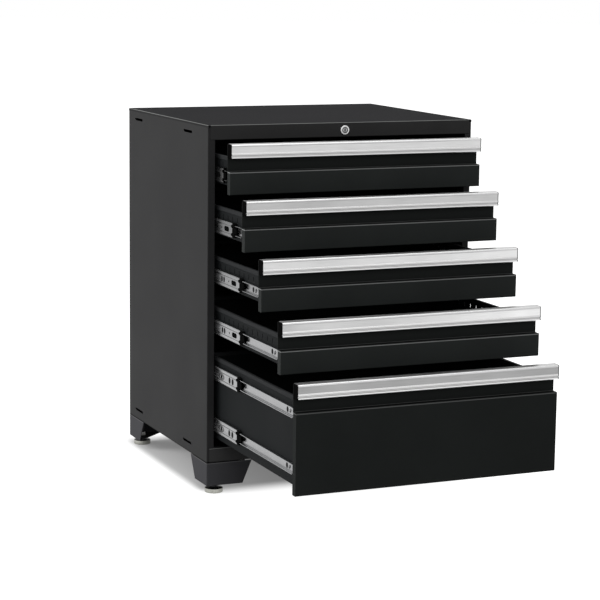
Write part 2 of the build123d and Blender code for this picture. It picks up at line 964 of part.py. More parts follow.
save("lock_housing", lock_housing())
save("lock_nut", lock_nut())
save("lock_plug", lock_plug())
save("lock_cam", lock_cam())
save("lock_bar", lock_bar(drawers))
save("lock_bar_guides", lock_bar_guides(drawers))

save("cabinet_slide_members", cabinet_slide_members(drawers))
for drawer in drawers:
    save(f"{drawer.name}_box", drawer_box(drawer))
    save(f"{drawer.name}_face", drawer_face(drawer))
    save(f"{drawer.name}_pull", drawer_pull(drawer))
    save(f"{drawer.name}_pull_caps", pull_end_caps(drawer))
    save(f"{drawer.name}_slide_rails", drawer_slide_rails(drawer))
    save(f"{drawer.name}_middle_slides", middle_slide_members(drawer))
    save(f"{drawer.name}_ball_guides", ball_guides(drawer))
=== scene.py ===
"""Drawer tool cabinet: finishes, small repeated parts, studio and camera around the fixed frame."""

import logging
import math
from dataclasses import dataclass, field
from enum import Enum

import bmesh
import bpy
from mathutils import Matrix, Vector


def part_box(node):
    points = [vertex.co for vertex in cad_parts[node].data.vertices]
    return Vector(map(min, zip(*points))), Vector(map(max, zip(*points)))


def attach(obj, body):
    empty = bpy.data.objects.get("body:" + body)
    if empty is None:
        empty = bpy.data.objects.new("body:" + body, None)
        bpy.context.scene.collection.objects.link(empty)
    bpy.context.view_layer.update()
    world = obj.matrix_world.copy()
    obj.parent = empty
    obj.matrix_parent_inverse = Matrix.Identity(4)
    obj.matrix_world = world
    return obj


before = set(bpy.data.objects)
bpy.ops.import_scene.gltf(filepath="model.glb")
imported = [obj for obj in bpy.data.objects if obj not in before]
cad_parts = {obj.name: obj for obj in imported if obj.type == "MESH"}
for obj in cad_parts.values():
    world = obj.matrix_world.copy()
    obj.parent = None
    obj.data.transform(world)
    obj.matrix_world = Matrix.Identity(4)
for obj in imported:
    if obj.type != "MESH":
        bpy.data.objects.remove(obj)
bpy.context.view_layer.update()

log = logging.getLogger("tool_cabinet")

Color = tuple[float, float, float]
Point = tuple[float, float, float]
Span = tuple[float, float]
Socket = bpy.types.NodeSocket
Material = bpy.types.Material

MM = 0.001
DRAWER_COUNT = 5
NOISE_SPAN: Span = (0.3, 0.7)
ORIGIN: Point = (0.0, 0.0, 0.0)


class Direction(Enum):
    """The way a brushed or rolled grain runs, as stretch factors of its noise along X, Y and Z."""

    ALONG_X = (0.012, 1.0, 1.0)
    ALONG_Y = (1.0, 0.012, 1.0)
    ALONG_Z = (1.0, 1.0, 0.012)


class Side(Enum):
    """Left and right of the cabinet, as the sign of X."""

    LEFT = -1
    RIGHT = 1


def grey(level: float) -> Color:
    """A grey of the brightness given."""
    return (level, level, level)


def scaled(color: Color, level: float) -> Color:
    """A colour made darker or brighter."""
    return (level * color[0], level * color[1], level * color[2])


def linked(name: str, data: bpy.types.ID) -> bpy.types.Object:
    """Put a new object into the scene.

    Args:
        name: The object's name.
        data: Its mesh, lamp or camera.

    Returns:
        The object, at the origin.
    """
    made = bpy.data.objects.new(name, data)
    bpy.context.scene.collection.objects.link(made)
    return made


class Graph:
    """A node tree in work: adds nodes, sets their inputs and links them."""

    def __init__(self, tree: bpy.types.NodeTree) -> None:
        """Start on a tree, without the nodes that it came with."""
        self.tree = tree
        tree.nodes.clear()

    def add(self, kind: str, inputs: dict | None = None, **settings: object) -> bpy.types.Node:
        """Add a node.

        Args:
            kind: The node's type name.
            inputs: Values or outputs of other nodes, by the name or number of the input.
            settings: The node's own properties.

        Returns:
            The new node.
        """
        node = self.tree.nodes.new(kind)
        for key, value in settings.items():
            setattr(node, key, value)
        for key, value in (inputs or {}).items():
            if isinstance(value, Socket):
                self.tree.links.new(value, node.inputs[key])
            else:
                node.inputs[key].default_value = value
        return node

    def maths(self, operation: str, first: object, second: object = 0.0) -> Socket:
        """Work out one sum of values."""
        return self.add("ShaderNodeMath", {0: first, 1: second}, operation=operation).outputs[0]

    def vectors(self, operation: str, *inputs: object) -> Socket:
        """Work out one sum of vectors, which gives a vector, or a value for LENGTH."""
        node = self.add("ShaderNodeVectorMath", dict(enumerate(inputs)), operation=operation)
        return node.outputs["Value" if operation == "LENGTH" else "Vector"]

    def split(self, source: Socket) -> bpy.types.NodeOutputs:
        """Take a vector apart into X, Y and Z."""
        return self.add("ShaderNodeSeparateXYZ", {0: source}).outputs

    def seen_directly(self) -> Socket:
        """Tell the rays that show a thing from the light that falls on others.

        Returns:
            1 for camera, glossy and transmission rays, and 0 for the rest.
        """
        path = self.add("ShaderNodeLightPath").outputs
        first = self.maths("MAXIMUM", path["Is Camera Ray"], path["Is Glossy Ray"])
        return self.maths("MAXIMUM", first, path["Is Transmission Ray"])


@dataclass(frozen=True)
class Speckle:
    """One layer of noise: size of its blobs, its finer layers, and its height as a bump."""

    size: float
    detail: float = 2.0
    height: float = 0.0


class Surface(Graph):
    """A material in work around one principled shader, read in object coordinates."""

    def __init__(
        self, name: str, color: Color, metallic: float, roughness: float, specular: float = 0.5
    ) -> None:
        """Make the material and its shader.

        Args:
            name: The material's name.
            color: Base colour, linear.
            metallic: 1 for bare metal, 0 for paint and plastic.
            roughness: The shader's roughness where nothing changes it.
            specular: Level of the clear reflection of paint or plastic.
        """
        self.material = bpy.data.materials.new(name)
        self.material.use_nodes = True
        super().__init__(self.material.node_tree)
        self.color = color
        self.shader = self.add(
            "ShaderNodeBsdfPrincipled",
            {
                "Base Color": (*color, 1.0),
                "Metallic": metallic,
                "Roughness": roughness,
                "Specular IOR Level": specular,
            },
        )
        self.add("ShaderNodeOutputMaterial", {"Surface": self.shader.outputs["BSDF"]})
        coordinates = self.add("ShaderNodeTexCoord").outputs
        self.place = coordinates["Object"]
        self.facing = coordinates["Normal"]
        self.height: Socket | None = None

    def noise(self, layer: Speckle, stretch: Point = (1.0, 1.0, 1.0)) -> Socket:
        """Noise in the piece's own space.

        Args:
            layer: The noise's size and detail.
            stretch: Factors on X, Y and Z; a small one draws the noise out along its axis.

        Returns:
            The noise's value.
        """
        moved = self.add("ShaderNodeMapping", {"Vector": self.place, "Scale": stretch})
        texture = self.add(
            "ShaderNodeTexNoise",
            {"Vector": moved.outputs["Vector"], "Scale": 1.0 / layer.size, "Detail": layer.detail},
        )
        return texture.outputs["Fac"]

    def between(self, source: Socket, low: float, high: float, limits: Span = NOISE_SPAN) -> Socket:
        """Map a value's range between the limits onto low to high, and clamp it."""
        values = {0: source, 1: limits[0], 2: limits[1], 3: low, 4: high}
        return self.add("ShaderNodeMapRange", values).outputs[0]

    def band(self, source: Socket, limits: Span, edge: float) -> Socket:
        """Find where a value lies between two limits.

        Args:
            source: The value.
            limits: The band's low and high end.
            edge: Half the width of its soft edges.

        Returns:
            1 inside the band and 0 outside it.
        """
        start, end = limits
        above = self.between(source, 0.0, 1.0, (start - edge, start + edge))
        below = self.between(source, 1.0, 0.0, (end - edge, end + edge))
        return self.maths("MULTIPLY", above, below)

    def shade(self, source: Socket, factors: Span) -> None:
        """Vary the colour written so far.

        Args:
            source: A value from 0 to 1, such as a noise.
            factors: What the colour is multiplied by at its low and high values.
        """
        before = self.shader.inputs["Base Color"]
        written = before.links[0].from_socket if before.is_linked else self.color
        scale = self.between(source, *factors)
        shaded = self.add("ShaderNodeVectorMath", {0: written, "Scale": scale}, operation="SCALE")
        self.tree.links.new(shaded.outputs[0], before)

    def blend(self, factor: Socket, color: Color) -> None:
        """Go over to another colour.

        Args:
            factor: 1 where the new colour shows, 0 where it doesn't.
            color: The new colour.
        """
        before = self.shader.inputs["Base Color"]
        written = before.links[0].from_socket if before.is_linked else (*self.color, 1.0)
        mixed = self.add(
            "ShaderNodeMix", {0: factor, 6: written, 7: (*color, 1.0)}, data_type="RGBA"
        )
        self.tree.links.new(mixed.outputs[2], before)

    def roughen(self, source: Socket, roughness: float, change: Span) -> None:
        """Vary the roughness by a change at the source's low and at its high values."""
        varied = self.between(source, roughness + change[0], roughness + change[1])
        self.tree.links.new(varied, self.shader.inputs["Roughness"])

    def raise_by(self, source: Socket, height: float) -> None:
        """Add a layer to the bump, with its height in metres."""
        layer = self.maths("MULTIPLY", source, height)
        self.height = layer if self.height is None else self.maths("ADD", self.height, layer)

    def folds(self, limits: Span = (0.8, 0.97)) -> Socket:
        """Find the rounded folds, where the surface faces between two of the axes.

        Args:
            limits: Largest part of the facing at which a fold is full and at which it ends.

        Returns:
            0 on flat sheet, rising to 1 round each fold.
        """
        parts = self.split(self.vectors("ABSOLUTE", self.facing))
        most = self.maths("MAXIMUM", self.maths("MAXIMUM", parts["X"], parts["Y"]), parts["Z"])
        return self.between(most, 1.0, 0.0, limits)

    def upward(self, limits: Span = (0.1, 0.6)) -> Socket:
        """Find what faces up, from 0 at one share of the full slope to 1 at another."""
        return self.between(self.split(self.facing)["Z"], 0.0, 1.0, limits)

    def finish(self) -> Material:
        """Link the bump.

        Returns:
            The finished material.
        """
        if self.height is not None:
            bump = self.add(
                "ShaderNodeBump", {"Height": self.height, "Distance": 1.0, "Strength": 1.0}
            )
            self.tree.links.new(bump.outputs["Normal"], self.shader.inputs["Normal"])
        return self.material


@dataclass(frozen=True)
class PowderCoat:
    """Satin powder coat: fine grain over a slow orange peel, with painted light and shade on its
    tops and painted highlights on its upward folds.
    """

    name: str
    color: Color
    # Painted light and shade: the tone laid on upward faces stands in for how light falls on them,
    # and the fold colour is a painted highlight.
    top_color: Color
    fold_highlight: Color = (0.2, 0.205, 0.2)
    roughness: float = 0.6
    specular: float = 0.05
    grain: Speckle = Speckle(0.0005, 2.0, 0.000012)
    grain_shade: Span = (0.86, 1.14)
    peel: Speckle = Speckle(0.0032, 1.0, 0.00002)
    patch: Speckle = Speckle(0.16, 4.0)
    patch_shade: Span = (0.9, 1.1)
    roughness_change: Span = (-0.04, 0.05)
    top_slope: Span = (0.5, 0.95)

    def material(self) -> Material:
        """Build the coat's nodes."""
        return self.coated().finish()

    def coated(self) -> Surface:
        """Lay the coat's colours, gloss and grain.

        Returns:
            The coat in work.
        """
        coat = Surface(self.name, self.color, 0.0, self.roughness, self.specular)
        patches = coat.noise(self.patch)
        grain = coat.noise(self.grain)
        # Paint the tops a tone that stands in for the light and shade on them, then paint
        # highlights on the folds that face up.
        coat.blend(coat.upward(self.top_slope), self.top_color)
        lit_folds = coat.maths("MULTIPLY", coat.folds(), coat.upward())
        coat.blend(lit_folds, self.fold_highlight)
        coat.shade(patches, self.patch_shade)
        coat.shade(grain, self.grain_shade)
        coat.roughen(patches, self.roughness, self.roughness_change)
        coat.raise_by(grain, self.grain.height)
        coat.raise_by(coat.noise(self.peel), self.peel.height)
        return coat


@dataclass(frozen=True)
class Strip:
    """A strip of another tone along a piece, such as a painted highlight on a bead, bend or pull's
    ridge, or painted shade in a seam or recess.
    """

    limits: Span
    color: Color


@dataclass(frozen=True)
class EdgedCoat(PowderCoat):
    """Coat with level strips of other tones on all of it that stands upright."""

    strips: tuple[Strip, ...] = ()
    edge: float = 0.4 * MM
    upright_slope: Span = (0.1, 0.5)

    def material(self) -> Material:
        """Build the coat and tone its strips.

        Returns:
            The finished coat.
        """
        coat = self.coated()
        level = coat.split(coat.place)["Z"]
        slope = coat.maths("ABSOLUTE", coat.split(coat.facing)["Z"])
        upright = coat.between(slope, 1.0, 0.0, self.upright_slope)
        for strip in self.strips:
            inside = coat.band(level, strip.limits, self.edge)
            coat.blend(coat.maths("MULTIPLY", inside, upright), strip.color)
        return coat.finish()


@dataclass(frozen=True)
class BrushedMetal:
    """Bare or plated metal with a drawn or brushed grain, slow staining and fine scratches."""

    name: str
    color: Color
    grain: Direction
    roughness: float = 0.3
    anisotropy: float = 0.0
    line: Speckle = Speckle(0.0006, 3.0, 0.000006)
    line_depth: float = 0.08
    broad: Speckle = Speckle(0.0048)
    patch: Speckle = Speckle(0.05, 3.0)
    patch_depth: float = 0.05
    roughness_change: Span = (-0.05, 0.08)

    def material(self) -> Material:
        """Build the metal's nodes."""
        return self.brushed().finish()

    def brushed(self) -> Surface:
        """Lay grain, stains and scratches on bare metal.

        Returns:
            The metal in work.
        """
        metal = Surface(self.name, self.color, 1.0, self.roughness)
        lines = metal.noise(self.line, self.grain.value)
        broad = metal.noise(self.broad, self.grain.value)
        patches = metal.noise(self.patch)
        metal.shade(lines, (1.0 - self.line_depth, 1.0 + self.line_depth))
        metal.shade(patches, (1.0 - self.patch_depth, 1.0 + self.patch_depth))
        metal.roughen(broad, self.roughness, self.roughness_change)
        metal.raise_by(lines, self.line.height)
        metal.shader.inputs["Anisotropic"].default_value = self.anisotropy
        return metal


@dataclass(frozen=True)
class PullMetal(BrushedMetal):
    """Extruded pull: a brushed flat with a painted change of light from end to end, and by depth
    below its top a nose, ridge and lip painted bright as highlights and a groove painted a set grey
    as its shade.
    """

    top: float = 0.0
    slope: float = 0.0
    half_length: float = 0.35
    nose: Strip = Strip((-1.0 * MM, 5.0 * MM), grey(0.55))
    ridge: Strip = Strip((21.2 * MM, 26.8 * MM), grey(0.49))
    groove: Strip = Strip((27.2 * MM, 29.6 * MM), grey(0.46))
    lip: Strip = Strip((30.0 * MM, 35.0 * MM), grey(0.58))
    edge: float = 0.35 * MM

    def material(self) -> Material:
        """Build the metal, its painted change of light from end to end, and its painted bands.

        Returns:
            The finished metal.
        """
        metal = self.brushed()
        place = metal.split(metal.place)
        along = metal.between(place["X"], *NOISE_SPAN, (-self.half_length, self.half_length))
        metal.shade(along, (1.0 - self.slope, 1.0 + self.slope))
        # Bands painted by depth: highlights on the nose, ridge and lip, and the groove's shade.
        depth = metal.maths("SUBTRACT", self.top, place["Z"])
        for strip in (self.nose, self.ridge, self.groove, self.lip):
            metal.blend(metal.band(depth, strip.limits, self.edge), strip.color)
        return metal.finish()


@dataclass(frozen=True)
class Stamp:
    """An oval or ring painted dark on a slide member as the shade of a pressing, slot or notch,
    placed from the member's front end.
    """

    place: float
    half_length: float
    half_height: float
    core: float = -1.0


@dataclass(frozen=True)
class SlidePlate(BrushedMetal):
    """Zinc plate of one kind of slide member, with stamps painted dark as shade, rolled lines
    pressed in and painted dark as their shade, and flanges painted lighter as light on them.
    """

    front_end: float = 0.0
    stamps: tuple[Stamp, ...] = ()
    stamp_edge: float = 0.1
    stamp_shade: Color = (0.02, 0.02, 0.021)
    heights: tuple[float, ...] = ()
    flange_light_level: float = 1.0
    flange_slope: Span = (0.3, 0.8)
    rolled: bool = True
    roll_offset: float = 9.6 * MM
    roll_width: float = 0.6 * MM
    roll_depth: float = 0.25 * MM
    roll_shade: Color = (0.05, 0.05, 0.052)

    def material(self) -> Material:
        """Build the plate, then paint the shade of its lines and stamps by height from each slide's
        middle.

        Returns:
            The finished plate.
        """
        metal = self.brushed()
        place = metal.split(metal.place)
        offset = None
        for height in self.heights:
            away = metal.maths("ABSOLUTE", metal.maths("SUBTRACT", place["Z"], height))
            offset = away if offset is None else metal.maths("MINIMUM", offset, away)
        # Faces that face up are painted lighter, as light on them.
        flanges = metal.upward(self.flange_slope)
        metal.blend(flanges, scaled(self.color, self.flange_light_level))
        # The rolled lines are pressed in as a bump and painted dark as their shade.
        if self.rolled:
            aside = metal.maths("ABSOLUTE", metal.maths("SUBTRACT", offset, self.roll_offset))
            line = metal.between(aside, 1.0, 0.0, (self.roll_width, 2 * self.roll_width))
            metal.blend(line, self.roll_shade)
            metal.raise_by(line, -self.roll_depth)
        # Stamps are painted dark, as the shade of pressings, slots and the rails' notch.
        for stamp in self.stamps:
            along = metal.maths("SUBTRACT", place["Y"], self.front_end + stamp.place)
            across = metal.maths("MULTIPLY", offset, stamp.half_length / stamp.half_height)
            squares = (metal.maths("POWER", part, 2.0) for part in (along, across))
            away = metal.maths("SQRT", metal.maths("ADD", *squares))
            reach = metal.maths("DIVIDE", away, stamp.half_length)
            inside = metal.band(reach, (stamp.core, 1.0), self.stamp_edge)
            metal.blend(inside, self.stamp_shade)
        return metal.finish()


@dataclass(frozen=True)
class MouldedPlastic:
    """Black moulded plastic with a fine spark-eroded grain, slight flow marks and tops painted
    lighter as the light on them.
    """

    name: str
    color: Color
    top_color: Color
    roughness: float = 0.55
    specular: float = 0.001
    grain: Speckle = Speckle(0.0004, 2.0, 0.00001)
    flow: Speckle = Speckle(0.012, 3.0)
    flow_shade: Span = (0.88, 1.12)
    roughness_change: Span = (-0.06, 0.08)
    top_slope: Span = (0.5, 0.95)

    def material(self) -> Material:
        """Build the plastic's nodes.

        Returns:
            The finished plastic.
        """
        surface = Surface(self.name, self.color, 0.0, self.roughness, self.specular)
        flow = surface.noise(self.flow)
        # Paint the tops lighter, standing in for the light falling on them.
        surface.blend(surface.upward(self.top_slope), self.top_color)
        surface.shade(flow, self.flow_shade)
        surface.roughen(flow, self.roughness, self.roughness_change)
        surface.raise_by(surface.noise(self.grain), self.grain.height)
        return surface.finish()


@dataclass(frozen=True)
class FootFinish:
    """Zinc-plated pad rim with a slight yellow passivation, and a dark hub above it."""

    name: str
    rim_color: Color
    hub_color: Color
    rim_top: float
    edge: float = 0.3 * MM
    roughness: float = 0.3
    hub_change: Span = (0.0, 0.15)
    blotches: Speckle = Speckle(0.004, 4.0)
    blotch_shade: Span = (0.82, 1.12)
    pits: Speckle = Speckle(0.0006, 2.0, 0.00001)

    def material(self) -> Material:
        """Build the two zones, which meet at the rim's top edge.

        Returns:
            The finished plating.
        """
        metal = Surface(self.name, self.rim_color, 1.0, self.roughness)
        metal.shade(metal.noise(self.blotches), self.blotch_shade)
        metal.raise_by(metal.noise(self.pits), self.pits.height)
        height = metal.split(metal.place)["Z"]
        above = metal.between(height, 0.0, 1.0, (self.rim_top, self.rim_top + self.edge))
        metal.blend(above, self.hub_color)
        metal.roughen(above, self.roughness, self.hub_change)
        return metal.finish()


@dataclass(frozen=True)
class LockFinish:
    """Nickel-plated lock round a duller plug, with the gap ring and the keyway painted dark as
    shade.
    """

    name: str
    color: Color
    axis: Point
    roughness: float = 0.22
    clouds: Speckle = Speckle(0.003, 3.0)
    cloud_shade: Span = (0.9, 1.08)
    pits: Speckle = Speckle(0.0004, 2.0, 0.000006)
    plug_color: Color = (0.3, 0.3, 0.305)
    ring: Span = (5.4 * MM, 8.0 * MM)
    ring_shade: Color = grey(0.05)
    keyway_shade: Color = grey(0.002)
    keyway_width: float = 3.2 * MM
    keyway_height: float = 8.0 * MM
    edge: float = 0.15 * MM

    def material(self) -> Material:
        """Build the plating, the plug and the painted shade of the ring, by distance from the
        lock's axis.

        Returns:
            The finished plating.
        """
        metal = Surface(self.name, self.color, 1.0, self.roughness)
        metal.shade(metal.noise(self.clouds), self.cloud_shade)
        metal.raise_by(metal.noise(self.pits), self.pits.height)
        offset = metal.vectors("SUBTRACT", metal.place, self.axis)
        radius = metal.vectors("LENGTH", metal.vectors("MULTIPLY", offset, (1.0, 0.0, 1.0)))
        plug = metal.band(radius, (-self.ring[0], self.ring[0]), self.edge)
        metal.blend(plug, self.plug_color)
        # The gap ring and the keyway are painted dark, as shade.
        metal.blend(metal.band(radius, self.ring, self.edge), self.ring_shade)
        parts = metal.split(offset)
        half_width, half_height = self.keyway_width / 2, self.keyway_height / 2
        across = metal.band(parts["X"], (-half_width, half_width), self.edge)
        along = metal.band(parts["Z"], (-half_height, half_height), self.edge)
        metal.blend(metal.maths("MULTIPLY", across, along), self.keyway_shade)
        return metal.finish()


@dataclass(frozen=True)
class FrontLook:
    """Tones of one kind of drawer front: its face, its reflection and the highlight painted on the
    bend above the face.
    """

    color: Color
    specular: float
    bend: Color


@dataclass
class Finishes:
    """All the materials of the cabinet, each made once, and the heights that they change at."""

    lock_axis: Point
    rim_top: float
    leg_top: float
    body_bottom: float
    # The deep drawer's front is painted darker than the shallow drawers' fronts, with a dimmer bend
    # highlight, standing in for the light falling differently on it.
    shallow_front: FrontLook = FrontLook((0.0185, 0.0206, 0.0201), 0.03, (0.2, 0.205, 0.203))
    deep_front: FrontLook = FrontLook((0.0125, 0.0139, 0.0135), 0.02, (0.09, 0.0925, 0.0915))
    bend_place: Span = (-2.8 * MM, -0.4 * MM)
    wall_start: float = 0.4 * MM
    recess_shade: Color = (0.0115, 0.0128, 0.0124)
    slide_color: Color = (0.2, 0.202, 0.206)
    slide_roughness: float = 0.24
    # The slides are painted darker the higher their drawer, as painted shade.
    slide_levels: tuple[float, ...] = (0.18, 0.55, 0.8, 1.0, 1.05)
    # The rails' upward flanges are painted lighter by this factor, as light on them.
    rail_flange_level: float = 2.4
    # Each pull's grey, and its change from end to end, are painted per drawer to stand in for the
    # light and reflections on it.
    pull_levels: tuple[float, ...] = (0.53, 0.4, 0.55, 0.52, 0.275)
    pull_slopes: tuple[float, ...] = (0.12, 0.12, 0.12, 0.22, 0.0)
    stamps: tuple[Stamp, ...] = (
        Stamp(98.0 * MM, 5.5 * MM, 7.6 * MM), Stamp(112.0 * MM, 5.5 * MM, 7.6 * MM)
    )
    deep_stamps: tuple[Stamp, ...] = (
        Stamp(28.0 * MM, 7.5 * MM, 7.8 * MM),
        Stamp(48.0 * MM, 7.5 * MM, 7.8 * MM),
        Stamp(101.0 * MM, 19.0 * MM, 8.6 * MM, 0.5),
    )
    rail_stamps: tuple[Stamp, ...] = (
        Stamp(3.0 * MM, 6.0 * MM, 8.0 * MM), Stamp(40.0 * MM, 6.5 * MM, 7.0 * MM)
    )
    seam_shade: Color = grey(0.003)
    seam_height: float = 2.2 * MM
    bead_height: float = 10.0 * MM
    over_top: float = 1.0 * MM
    # The boxes' coat is painted darker than the shell's, as their shade inside the cabinet.
    box_color: Color = (0.0095, 0.0105, 0.011)
    box_top: Color = (0.02, 0.021, 0.022)

    def __post_init__(self) -> None:
        """Make the materials that are the same for all drawers, and those of the body."""
        # A painted tone on the tops of the shell, rail and legs, standing in for the light falling
        # on them.
        body_painted_top_tone = (0.036, 0.036, 0.038)
        seam = (Strip((self.leg_top, self.body_bottom + self.seam_height), self.seam_shade),)
        # A painted highlight along the legs' top edge, below the painted shade of the seam.
        leg_edge_highlight = Strip((self.leg_top - self.seam_height, self.leg_top), (0.095, 0.095, 0.099))
        # Copies of one black powder coat in different greys: the rail's, the roof's (seen on the
        # header's front) and the legs' are painted lighter to stand in for light on them, and the
        # roof's top is painted darker as shade.
        self.shell = EdgedCoat(
            "shell_powder_coat", (0.018, 0.018, 0.0184), body_painted_top_tone, strips=seam
        ).material()
        self.rail = EdgedCoat(
            "rail_powder_coat", (0.034, 0.034, 0.0342), body_painted_top_tone, strips=seam
        ).material()
        self.roof = PowderCoat(
            "roof_powder_coat",
            color=(0.029, 0.029, 0.0293),
            top_color=(0.0205, 0.0205, 0.0217),
            roughness=0.8,
            specular=0.01,
        ).material()
        self.tab = PowderCoat("tab_powder_coat", self.box_color, self.box_top).material()
        self.leg = EdgedCoat(
            "leg_powder_coat", (0.046, 0.046, 0.05), body_painted_top_tone, specular=0.03, strips=(leg_edge_highlight, *seam)
        ).material()
        self.slide = BrushedMetal(
            "slide_zinc_plate",
            self.slide_color,
            Direction.ALONG_Y,
            self.slide_roughness,
            line_depth=0.05,
            patch_depth=0.1,
        ).material()
        self.ball = BrushedMetal(
            "ball_polished_steel",
            (0.7, 0.7, 0.71),
            Direction.ALONG_X,
            roughness=0.14,
            line_depth=0.02,
        ).material()
        self.hardware = BrushedMetal(
            "hardware_zinc_plate",
            (0.5, 0.5, 0.49),
            Direction.ALONG_Z,
            roughness=0.32,
            patch=Speckle(0.01, 3.0),
            patch_depth=0.12,
        ).material()
        self.plastic = MouldedPlastic(
            "moulded_black_plastic", grey(0.003), top_color=grey(0.01)
        ).material()
        # The caps' tops are painted much lighter, as a highlight.
        self.cap = MouldedPlastic(
            "cap_black_plastic", grey(0.0025), top_color=grey(0.05)
        ).material()
        self.foot = FootFinish(
            "foot_plating", (0.34, 0.34, 0.31), hub_color=(0.02, 0.02, 0.021), rim_top=self.rim_top
        ).material()
        self.lock = LockFinish("lock_nickel_plate", grey(0.56), self.lock_axis).material()

    def box(self, name: str, top: float) -> Material:
        """Make the coat for one drawer's box.

        Args:
            name: The drawer's name.
            top: Height of the box's upper edge, below which its bead is painted lighter as a
                highlight.

        Returns:
            The coat.
        """
        # The bead's band is painted lighter, as a highlight.
        bead = Strip((top - self.bead_height, top + self.over_top), (0.022, 0.023, 0.024))
        return EdgedCoat(
            f"{name}_box_powder_coat",
            self.box_color,
            self.box_top,
            fold_highlight=(0.035, 0.036, 0.037),
            specular=0.02,
            strips=(bead,),
        ).material()

    def front(self, name: str, ledge: float, top: float, look: FrontLook) -> Material:
        """Make the coat for one drawer's front, with painted shade on the wall behind the finger
        gap.

        Args:
            name: The drawer's name.
            ledge: Height of the shelf below the finger gap, whose bend gets a painted highlight.
            top: Height of the front's upper edge.
            look: The front's tones.

        Returns:
            The coat.
        """
        low, high = self.bend_place
        return EdgedCoat(
            f"{name}_front_powder_coat",
            look.color,
            # The ledge's top is painted darker as shade, so that the bend below keeps one crisp
            # painted highlight.
            top_color=(0.006, 0.0066, 0.0063),
            fold_highlight=(0.06, 0.062, 0.061),
            specular=look.specular,
            strips=(
                # A painted highlight on the bend at the ledge, and painted shade on the wall behind
                # the finger gap.
                Strip((ledge + low, ledge + high), look.bend),
                Strip((ledge + self.wall_start, top + self.over_top), self.recess_shade),
            ),
        ).material()

    def pull(self, number: int, top: float) -> Material:
        """Make the metal for one drawer's pull.

        Args:
            number: The drawer's number.
            top: Height of the pull's upper edge.

        Returns:
            The metal.
        """
        return PullMetal(
            f"drawer_{number}_pull_brushed_aluminium",
            grey(self.pull_levels[number - 1]),
            Direction.ALONG_X,
            roughness=0.33,
            anisotropy=0.4,
            patch=Speckle(0.2, 3.0),
            patch_depth=0.12,
            top=top,
            slope=self.pull_slopes[number - 1],
        ).material()

    def slides(
        self, number: int, heights: tuple[float, ...], front_end: float, rail: bool
    ) -> Material:
        """Make the plate for one drawer's middle members or rails.

        Args:
            number: The drawer's number.
            heights: Height of the middle of each of its slides.
            front_end: Where the members' front ends lie along Y.
            rail: Whether it is for the rails, which have no rolled lines.

        Returns:
            The plate with its stamps at those heights.
        """
        stamps = self.deep_stamps if len(heights) > 1 else self.stamps
        return SlidePlate(
            f"drawer_{number}_{'rail' if rail else 'slide'}_zinc_plate",
            scaled(self.slide_color, self.slide_levels[number - 1]),
            Direction.ALONG_Y,
            self.slide_roughness,
            front_end=front_end,
            stamps=self.rail_stamps if rail else stamps,
            heights=heights,
            rolled=not rail,
            flange_light_level=self.rail_flange_level if rail else 1.0,
        ).material()


def dress(material: Material, *nodes: str) -> None:
    """Give CAD nodes their finish.

    Args:
        material: The finish.
        nodes: The nodes' names.
    """
    for node in nodes:
        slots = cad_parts[node].data.materials
        slots.clear()
        slots.append(material)


def new_piece(name: str, work: bmesh.types.BMesh) -> bpy.types.Object:
    """Turn work in hand into an object at the origin.

    Args:
        name: The piece's name.
        work: Its geometry, which is freed.

    Returns:
        The new object, with outward normals.
    """
    bmesh.ops.recalc_face_normals(work, faces=work.faces)
    mesh = bpy.data.meshes.new(name)
    work.to_mesh(mesh)
    work.free()
    return linked(name, mesh)


def turned(name: str, profile: list[Span], segments: int) -> bpy.types.Object:
    """Turn a profile about Z into a closed shape.

    Args:
        name: The shape's name.
        profile: Radius and height of each point, from one pole on the axis to the other.
        segments: Faces round the axis.

    Returns:
        The turned object.
    """
    work = bmesh.new()
    rings = []
    angles = [math.tau * step / segments for step in range(segments)]
    for radius, height in profile[1:-1]:
        places = [(radius * math.cos(a), radius * math.sin(a), height) for a in angles]
        rings.append([work.verts.new(place) for place in places])
    first = work.verts.new((0.0, 0.0, profile[0][1]))
    last = work.verts.new((0.0, 0.0, profile[-1][1]))
    for step in range(segments):
        after = (step + 1) % segments
        work.faces.new((first, rings[0][after], rings[0][step]))
        work.faces.new((last, rings[-1][step], rings[-1][after]))
        for low, high in zip(rings, rings[1:]):
            work.faces.new((low[step], low[after], high[after], high[step]))
    for face in work.faces:
        face.smooth = True
    return new_piece(name, work)


def skinned(name: str, rings: list[list[Point]]) -> bpy.types.Object:
    """Close rings of points into a solid with a flat face at each end.

    Args:
        name: The solid's name.
        rings: Rings of equal length, one after another.

    Returns:
        The solid.
    """
    work = bmesh.new()
    rows = [[work.verts.new(point) for point in ring] for ring in rings]
    for low, high in zip(rows, rows[1:]):
        for corner in range(len(low)):
            after = (corner + 1) % len(low)
            work.faces.new((low[corner], low[after], high[after], high[corner]))
    work.faces.new(rows[0])
    work.faces.new(rows[-1])
    return new_piece(name, work)


def ball_profile(radius: float, rings: int) -> list[Span]:
    """Half a circle from pole to pole."""
    angles = [math.pi * step / (rings + 1) for step in range(rings + 2)]
    return [(radius * math.sin(a), -radius * math.cos(a)) for a in angles]


def dome_profile(radius: float, height: float, rings: int) -> list[Span]:
    """A low domed head on a flat base, from the axis below to the axis above."""
    steps = [math.pi / 2 * step / rings for step in range(rings + 1)]
    return [(0.0, 0.0)] + [(radius * math.cos(a), height * math.sin(a)) for a in steps]


